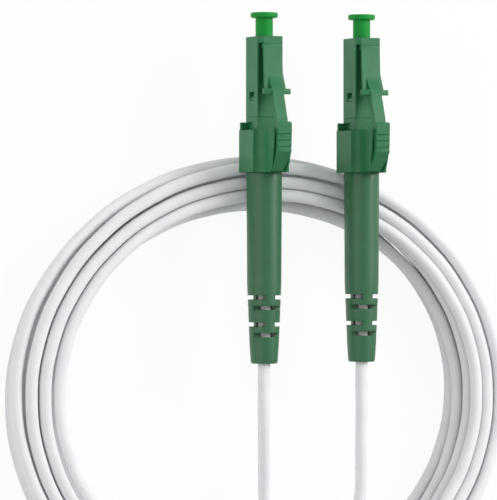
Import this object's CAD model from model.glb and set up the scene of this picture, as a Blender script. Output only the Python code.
import math

import bpy
from mathutils import Matrix, Vector


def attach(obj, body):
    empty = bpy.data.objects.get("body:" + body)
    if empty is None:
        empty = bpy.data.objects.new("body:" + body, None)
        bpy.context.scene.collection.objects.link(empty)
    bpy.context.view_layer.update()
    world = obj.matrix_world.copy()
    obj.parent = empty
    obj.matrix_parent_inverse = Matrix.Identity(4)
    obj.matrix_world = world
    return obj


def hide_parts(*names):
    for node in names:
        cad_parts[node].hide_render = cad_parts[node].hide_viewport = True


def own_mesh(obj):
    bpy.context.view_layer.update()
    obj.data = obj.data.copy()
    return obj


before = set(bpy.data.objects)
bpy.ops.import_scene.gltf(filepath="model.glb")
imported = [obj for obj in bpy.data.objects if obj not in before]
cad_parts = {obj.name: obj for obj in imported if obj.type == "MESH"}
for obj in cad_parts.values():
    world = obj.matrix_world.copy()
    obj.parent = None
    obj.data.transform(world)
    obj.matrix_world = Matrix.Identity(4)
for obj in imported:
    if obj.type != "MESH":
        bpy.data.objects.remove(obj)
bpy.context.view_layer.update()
scene = bpy.context.scene
scene.view_settings.view_transform = "Standard"

# --- Camera ---------------------------------------------------------------------------------
# A long lens looks down on the coil and leans to the left, so that each plug shows its left
# side and its latch together.
lean = math.radians(24.7)
camera_distance = 0.62
look_at = Vector((-0.00551, 0.02428, 0.01205))
towards_camera = Vector((-math.sin(lean), 0, math.cos(lean)))
sideways = Vector((math.cos(lean), 0, math.sin(lean)))
lens = bpy.data.cameras.new("studio_camera")
lens.lens = 274.5
lens.sensor_width = 36
lens.clip_start = 0.01
lens.clip_end = 10
camera = bpy.data.objects.new("studio_camera", lens)
scene.collection.objects.link(camera)
turn = Matrix((sideways, (0, 1, 0), towards_camera)).transposed().to_4x4()
camera.matrix_world = Matrix.Translation(look_at + towards_camera * camera_distance) @ turn
scene.camera = camera

# --- Cord -----------------------------------------------------------------------------------
# A single fibre in a round white jacket, 2 mm thick and about 3 m long. It leaves the first
# boot, is wound in four layers that spiral out and in by turns, and ends in the second boot.
MM = 0.001
jacket_r = 1.0
plug_a = Vector((-2.7, 59.0, 12.07))
plug_b = Vector((15.0, 59.1, 12.07))
boot_end = 53.22
straight_out = Vector((0, 3, 0.1))
coil_half_x = 45.5
coil_half_y = 40.6
layers = 4
points_per_turn = 24
points_per_layer = 77
turn_pitch = 2.5
layer_pitch = 2.45
lowest_z = 0.8
join_angle = 60
join_lead = 2
layer_turns = points_per_layer / points_per_turn
turns = layers * layer_turns
spiral_w = layer_turns * turn_pitch
inner_x = coil_half_x - jacket_r - spiral_w
inner_y = coil_half_y - jacket_r - spiral_w
# The cord climbs to the next layer in half a turn, and its wander grows from nothing and fades
# again over a third of a turn at either end of the coil.
climb_turns = 0.5
wander_rate = 3
# The wander of a cord wound by hand: how much of the band's width its turns give up, how far
# a layer sits to one side, and by what angle that side differs from layer to layer.
snug_share = 0.1
drift_reach = 0.3
drift_turn = math.radians(100)
slack_a = [
    (-2.5, -2, 11.5), (-1.7, -6.5, 9.8), (-0.6, -11, 7.5), (0.4, -15.5, 5.3), (1.5, -20, 3.5),
    (3.1, -24, 2.1), (5.5, -27, 1.3), (8.8, -28.9, 1), (12.6, -29.3, 1),
]
slack_b = [
    (15.2, -2, 11.7), (15.4, -7, 11.1), (15.8, -11.5, 10.3), (16.1, -16, 9.4), (15.4, -20.5, 8.5),
    (13.2, -24.4, 7.8), (9.7, -27.1, 7.3), (5.5, -28.9, 7), (1, -29.8, 6.9), (-3.6, -30.1, 7),
    (-8.2, -29.8, 7.5), (-12.7, -29.1, 8),
]


def smooth_step(x):
    """Goes from 0 to 1 as x does, with a soft start and a soft end."""
    x = min(1, max(0, x))
    return x * x * (3 - 2 * x)


def sway(t, reach, waves, start):
    """A swing to both sides with so many waves in a turn."""
    return reach * math.sin(math.tau * t * waves + start)


def wound(t):
    """A point of the coil after t turns."""
    layer = min(layers - 1, int(t / layer_turns))
    share = t / layer_turns - layer
    out = (share if layer % 2 == 0 else 1 - share) * spiral_w
    climb = sum(smooth_step((t - j * layer_turns) / climb_turns + 0.5) for j in range(1, layers))
    hold = smooth_step(t * wander_rate) * smooth_step((turns - t) * wander_rate)
    snug = snug_share * (spiral_w / 2 - out)
    loose = sway(t, 0.1, 0.57, 2) + sway(t, 0.02, 1.31, 0.4)
    drift = sway(t, drift_reach, 1, drift_turn * climb)
    lift = sway(t, 0.08, 1.73, 1)
    out += (snug + loose + drift) * hold
    a = math.radians(360 * t - join_angle)
    height = lowest_z + layer_pitch * climb + lift * hold
    resting = max(jacket_r, height)
    return Vector(((inner_x + out) * math.cos(a), (inner_y + out) * math.sin(a), resting))


steps = math.ceil(turns * points_per_turn)
coil = [wound(turns * i / steps) for i in range(steps + 1)]
into = (coil[1] - coil[0]).normalized()
out_of = (coil[-1] - coil[-2]).normalized()
exit_a = plug_a - Vector((0, boot_end, 0))
exit_b = plug_b - Vector((0, boot_end, 0))
route = [exit_a, exit_a - straight_out, *slack_a, coil[0] - into * join_lead, *coil]
route += [coil[-1] + out_of * join_lead, *reversed(slack_b), exit_b - straight_out, exit_b]

line = bpy.data.curves.new("cord_jacket", "CURVE")
line.dimensions = "3D"
line.resolution_u = 5
line.bevel_depth = jacket_r * MM
line.bevel_resolution = 6
line.use_fill_caps = True
spline = line.splines.new("BEZIER")
spline.bezier_points.add(len(route) - 1)
for knot, place in zip(spline.bezier_points, route):
    knot.co = Vector(place) * MM
    knot.handle_left_type = knot.handle_right_type = "AUTO"
cord = bpy.data.objects.new("cord_jacket", line)
scene.collection.objects.link(cord)


def shader_group(name, inputs, outputs):
    """An empty node group with its named sockets, and its input and output nodes."""
    group = bpy.data.node_groups.new(name, "ShaderNodeTree")
    for label, kind, value in inputs:
        socket = group.interface.new_socket(label, in_out="INPUT", socket_type=kind)
        socket.default_value = value
    for label, kind in outputs:
        group.interface.new_socket(label, in_out="OUTPUT", socket_type=kind)
    return group, group.nodes.new("NodeGroupInput"), group.nodes.new("NodeGroupOutput")


def node(tree, kind, settings=None, **links):
    """A node with its settings, and its inputs set or linked, by name or as _ and their number."""
    made = tree.nodes.new(kind)
    for key, value in (settings or {}).items():
        setattr(made, key, value)
    for key, value in links.items():
        socket = made.inputs[int(key[1:])] if key[1:].isdigit() else made.inputs[key.replace("_", " ")]
        if isinstance(value, bpy.types.NodeSocket):
            tree.links.new(value, socket)
        else:
            socket.default_value = value
    return made


# Fine grain of a moulded or drawn surface: small pits, broad clouding and a roughness that
# changes with both.
grain, given, result = shader_group(
    "moulded_grain",
    [
        ("Colour", "NodeSocketColor", (0.5, 0.5, 0.5, 1)),
        ("Cloud Colour", "NodeSocketColor", (0.4, 0.4, 0.4, 1)),
        ("Grain Scale", "NodeSocketFloat", 4000.0),
        ("Cloud Scale", "NodeSocketFloat", 300.0),
        ("Roughness", "NodeSocketFloat", 0.4),
        ("Roughness Spread", "NodeSocketFloat", 0.1),
    ],
    [("Colour", "NodeSocketColor"), ("Roughness", "NodeSocketFloat"), ("Height", "NodeSocketFloat")],
)
spot = node(grain, "ShaderNodeTexCoord").outputs["Object"]
pits = node(grain, "ShaderNodeTexNoise", Vector=spot, Scale=given.outputs["Grain Scale"], Detail=3.0)
cloud = node(grain, "ShaderNodeTexNoise", Vector=spot, Scale=given.outputs["Cloud Scale"], Detail=4.0)
amount = node(grain, "ShaderNodeMapRange", Value=cloud.outputs[0], From_Min=0.35, From_Max=0.7)
tinted = node(
    grain, "ShaderNodeMix", {"data_type": "RGBA"},
    _0=amount.outputs[0], _6=given.outputs["Colour"], _7=given.outputs["Cloud Colour"],
)
both = node(grain, "ShaderNodeMath", {"operation": "ADD"}, _0=pits.outputs[0], _1=cloud.outputs[0])
centred = node(grain, "ShaderNodeMath", {"operation": "SUBTRACT"}, _0=both.outputs[0], _1=1.0)
gloss = node(
    grain, "ShaderNodeMath", {"operation": "MULTIPLY_ADD"},
    _0=centred.outputs[0], _1=given.outputs["Roughness Spread"], _2=given.outputs["Roughness"],
)
grain.links.new(tinted.outputs[2], result.inputs["Colour"])
grain.links.new(gloss.outputs[0], result.inputs["Roughness"])
grain.links.new(pits.outputs[0], result.inputs["Height"])
pits_per_cloud = 14


def moulded(name, colour, cloud_colour, roughness, spread, grain_scale, depth, **fixed):
    """A material with the grain of a moulding; fixed holds the shader's own plain settings."""
    finish = bpy.data.materials.new(name)
    finish.use_nodes = True
    tree = finish.node_tree
    skin = tree.nodes["Principled BSDF"]
    texture = node(
        tree, "ShaderNodeGroup", {"node_tree": grain},
        Colour=(*colour, 1), Cloud_Colour=(*cloud_colour, 1), Grain_Scale=grain_scale,
        Cloud_Scale=grain_scale / pits_per_cloud, Roughness=roughness, Roughness_Spread=spread,
    )
    bump = node(tree, "ShaderNodeBump", Strength=1.0, Distance=depth * MM, Height=texture.outputs["Height"])
    tree.links.new(texture.outputs["Colour"], skin.inputs["Base Color"])
    tree.links.new(texture.outputs["Roughness"], skin.inputs["Roughness"])
    tree.links.new(bump.outputs["Normal"], skin.inputs["Normal"])
    for key, value in fixed.items():
        skin.inputs[key.replace("_", " ")].default_value = value
    return finish


white_jacket = moulded(
    "white_jacket", colour=(0.84, 0.84, 0.86), cloud_colour=(0.8, 0.8, 0.825),
    roughness=0.55, spread=0.12, grain_scale=3600, depth=0.016,
    Specular_IOR_Level=0.2, Subsurface_Weight=0.6, Subsurface_Radius=(1, 1, 1),
    Subsurface_Scale=0.0012,
)
line.materials.append(white_jacket)
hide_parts("tail_a", "coil", "tail_b")
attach(cord, "cord")

# --- Front housing ----------------------------------------------------------------------------
# A square tube of green plastic, 4.5 mm wide, that goes into the port. It is one moulding with
# a round opening for the ferrule, a channel under the latch and a snap window on each side.
plug_step = (plug_b - plug_a) * MM


def only(piece):
    """Selects this piece and nothing else."""
    bpy.ops.object.select_all(action="DESELECT")
    piece.select_set(True)
    bpy.context.view_layer.objects.active = piece


def shell_of(solid):
    """The surface of a solid on the first plug, merged into clean faces."""
    piece = bpy.data.objects.new(f"{solid}_shell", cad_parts[f"{solid}_a"].data.copy())
    scene.collection.objects.link(piece)
    only(piece)
    bpy.ops.object.mode_set(mode="EDIT")
    bpy.ops.mesh.select_all(action="SELECT")
    bpy.ops.mesh.remove_doubles(threshold=2e-6)
    bpy.ops.mesh.dissolve_limited(angle_limit=math.radians(0.3))
    bpy.ops.object.mode_set(mode="OBJECT")
    return piece


def soften(piece, radius):
    """Rounds the edges as a mould does, and shades the faces between them flat."""
    only(piece)
    bpy.ops.mesh.customdata_custom_splitnormals_clear()
    bpy.ops.object.shade_smooth()
    bevel = piece.modifiers.new("rounded_edges", "BEVEL")
    bevel.width = radius * MM
    bevel.segments = 3
    bevel.limit_method = "ANGLE"
    bevel.angle_limit = math.radians(28)
    bevel.use_clamp_overlap = False
    bevel.miter_outer = "MITER_ARC"
    bpy.ops.object.modifier_apply(modifier=bevel.name)
    weighted = piece.modifiers.new("face_shading", "WEIGHTED_NORMAL")
    bpy.ops.object.modifier_apply(modifier=weighted.name)
    return piece


def fit_both_plugs(piece, solid, body, finish, form="moulding"):
    """Puts the piece on the first plug and a copy of it on the second."""
    twin = piece.copy()
    twin.data = piece.data.copy()
    twin.data.transform(Matrix.Translation(plug_step))
    scene.collection.objects.link(twin)
    for end, part in (("a", piece), ("b", twin)):
        part.name = f"{solid}_{end}_{form}"
        part.data.materials.clear()
        part.data.materials.append(finish)
        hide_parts(f"{solid}_{end}")
        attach(part, "cord" if body == "cord" else f"{body}_{end}")
    return piece, twin


green_plastic = moulded(
    "green_plastic", colour=(0.018, 0.18, 0.063), cloud_colour=(0.015, 0.162, 0.055),
    roughness=0.48, spread=0.12, grain_scale=5200, depth=0.006, Specular_IOR_Level=0.45,
)
housing = soften(shell_of("front_housing"), radius=0.04)
fit_both_plugs(housing, "front_housing", "cord", green_plastic)

# --- Latch --------------------------------------------------------------------------------------
# A bending arm of the same green plastic with two lugs that catch in the port. Its narrow tail
# rises to the lever.
latch = soften(shell_of("latch_arm"), radius=0.04)
fit_both_plugs(latch, "latch_arm", "latch", green_plastic)

# --- Back post ----------------------------------------------------------------------------------
# A green moulding that joins the plug's front to its rear. Two barbs snap into the housing's
# windows, and its barrel takes the crimp.
post = soften(shell_of("back_post"), radius=0.04)
fit_both_plugs(post, "back_post", "cord", green_plastic)

# --- Rear clip and lever ------------------------------------------------------------------------
# The clip slides over the post, and its cheeks stand on both sides of the finger lever, which
# bends down on the latch's tail. Both are green mouldings.
clip = soften(shell_of("rear_clip"), radius=0.045)
fit_both_plugs(clip, "rear_clip", "cord", green_plastic)
lever = soften(shell_of("trigger_lever"), radius=0.04)
fit_both_plugs(lever, "trigger_lever", "trigger", green_plastic)

# --- Boot ---------------------------------------------------------------------------------------
# A soft green sleeve over the crimp that keeps the cord from kinking. Four pairs of slots let
# its end bend.
boot_rubber = moulded(
    "boot_rubber", colour=(0.016, 0.132, 0.048), cloud_colour=(0.013, 0.118, 0.042),
    roughness=0.45, spread=0.1, grain_scale=4200, depth=0.008, Specular_IOR_Level=0.7,
)
boot = soften(shell_of("boot"), radius=0.05)
fit_both_plugs(boot, "boot", "cord", boot_rubber)

# --- Dust cap -----------------------------------------------------------------------------------
# A bright, slightly clear green cap with a round rim to pull it by. It is pushed over the
# ferrule into the housing's opening.
cap_plastic = moulded(
    "cap_plastic", colour=(0.009, 0.31, 0.042), cloud_colour=(0.007, 0.28, 0.036),
    roughness=0.5, spread=0.1, grain_scale=3600, depth=0.006,
    Specular_IOR_Level=0.18, Subsurface_Weight=0.15, Subsurface_Scale=0.0004,
)
cap = soften(shell_of("dust_cap"), radius=0.06)
fit_both_plugs(cap, "dust_cap", "cap", cap_plastic)

# --- Ferrule, flange and spring -----------------------------------------------------------------
# The white ceramic ferrule is pressed into a six-sided nickel flange, and a steel spring
# behind it pushes it forward.
ceramic = moulded(
    "ceramic", colour=(0.83, 0.82, 0.78), cloud_colour=(0.78, 0.77, 0.73),
    roughness=0.16, spread=0.06, grain_scale=9000, depth=0.001, Coat_Weight=0.4,
)
nickel = moulded(
    "nickel", colour=(0.62, 0.6, 0.55), cloud_colour=(0.55, 0.53, 0.49),
    roughness=0.28, spread=0.14, grain_scale=8000, depth=0.002, Metallic=1.0,
)
spring_steel = moulded(
    "spring_steel", colour=(0.55, 0.56, 0.58), cloud_colour=(0.45, 0.46, 0.48),
    roughness=0.25, spread=0.1, grain_scale=9000, depth=0.001, Metallic=1.0,
)
ferrule = soften(shell_of("ferrule"), radius=0.03)
fit_both_plugs(ferrule, "ferrule", "ferrule", ceramic, "ceramic")
flange = soften(shell_of("ferrule_flange"), radius=0.04)
fit_both_plugs(flange, "ferrule_flange", "ferrule", nickel, "metal")
# The spring's rear end rests on the post, 9 mm behind the housing's front. Its front end gives
# way by a little more than the 1 mm that the flange moves.
coiled_wire = shell_of("spring")
only(coiled_wire)
bpy.ops.object.shade_smooth()
rounder = coiled_wire.modifiers.new("round_wire", "SUBSURF")
rounder.levels = rounder.render_levels = 2
bpy.ops.object.modifier_apply(modifier=rounder.name)
springs = fit_both_plugs(coiled_wire, "spring", "cord", spring_steel, "wire")
for end, spring, plug in zip("ab", springs, (plug_a, plug_b)):
    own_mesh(spring)

# --- Crimp, yarn and fibre ----------------------------------------------------------------------
# Under the boot, a metal ring clamps the yellow yarn and the jacket on the post's barrel, and
# the coated fibre runs on to the flange.
crimp_metal = moulded(
    "crimp_metal", colour=(0.58, 0.5, 0.3), cloud_colour=(0.5, 0.43, 0.26),
    roughness=0.32, spread=0.14, grain_scale=6000, depth=0.004, Metallic=1.0,
)
yarn = moulded(
    "yarn", colour=(0.72, 0.5, 0.12), cloud_colour=(0.6, 0.4, 0.09),
    roughness=0.6, spread=0.2, grain_scale=9000, depth=0.02,
)
buffer_coat = moulded(
    "buffer_coat", colour=(0.8, 0.79, 0.74), cloud_colour=(0.74, 0.73, 0.68),
    roughness=0.4, spread=0.1, grain_scale=5000, depth=0.004,
)
for end in "ab":
    for solid, finish in (
        ("crimp_ring", crimp_metal), ("strength_yarn", yarn),
        ("fibre_buffer", buffer_coat), ("jacket_end", white_jacket),
    ):
        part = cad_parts[f"{solid}_{end}"]
        part.data.materials.clear()
        part.data.materials.append(finish)

# --- Studio -------------------------------------------------------------------------------------
# A white table in an even white room, both whiter to look at than the light they throw on the
# cord. A strong soft light stands over the right side, and a wider, weaker one on the left.
table_glow = 0.92
room_level = 0.53
bpy.ops.object.select_all(action="DESELECT")
bpy.ops.mesh.primitive_plane_add(size=4)
table = bpy.context.object
table.name = "white_table"
paper = bpy.data.materials.new("white_table")
paper.use_nodes = True
tree = paper.node_tree
skin = tree.nodes["Principled BSDF"]
skin.inputs["Base Color"].default_value = (0.9, 0.9, 0.9, 1)
skin.inputs["Roughness"].default_value = 0.9
skin.inputs["Specular IOR Level"].default_value = 0.1
rays = node(tree, "ShaderNodeLightPath").outputs
seen = node(
    tree, "ShaderNodeMath", {"operation": "ADD", "use_clamp": True},
    _0=rays["Is Camera Ray"], _1=rays["Is Glossy Ray"],
)
share = node(tree, "ShaderNodeMath", {"operation": "MULTIPLY"}, _0=seen.outputs[0], _1=table_glow)
glow = node(tree, "ShaderNodeEmission", Color=(1, 1, 1, 1), Strength=1.0)
mixed = node(tree, "ShaderNodeMixShader", _0=share.outputs[0], _1=skin.outputs[0], _2=glow.outputs[0])
tree.links.new(mixed.outputs[0], tree.nodes["Material Output"].inputs["Surface"])
table.data.materials.append(paper)


def soft_light(name, place, size, power):
    """A square studio light that faces the coil."""
    data = bpy.data.lights.new(name, "AREA")
    data.size = size
    data.energy = power
    lamp = bpy.data.objects.new(name, data)
    lamp.location = place
    lamp.rotation_euler = (Vector(place) - look_at).to_track_quat("Z", "Y").to_euler()
    lamp.visible_camera = False
    scene.collection.objects.link(lamp)


soft_light("right_softbox", place=(0.52, 0.3, 0.52), size=0.36, power=3.9)
soft_light("left_softbox", place=(-0.62, 0.1, 0.36), size=0.6, power=1.2)
room = bpy.data.worlds.new("white_room")
scene.world = room
room.use_nodes = True
tree = room.node_tree
rays = node(tree, "ShaderNodeLightPath").outputs
seen = node(
    tree, "ShaderNodeMath", {"operation": "MAXIMUM"},
    _0=rays["Is Camera Ray"], _1=rays["Is Transmission Ray"],
)
level = node(tree, "ShaderNodeMapRange", Value=seen.outputs[0], To_Min=room_level, To_Max=1.0)
tree.links.new(level.outputs[0], tree.nodes["Background"].inputs["Strength"])
tree.nodes["Background"].inputs["Color"].default_value = (1, 1, 1, 1)
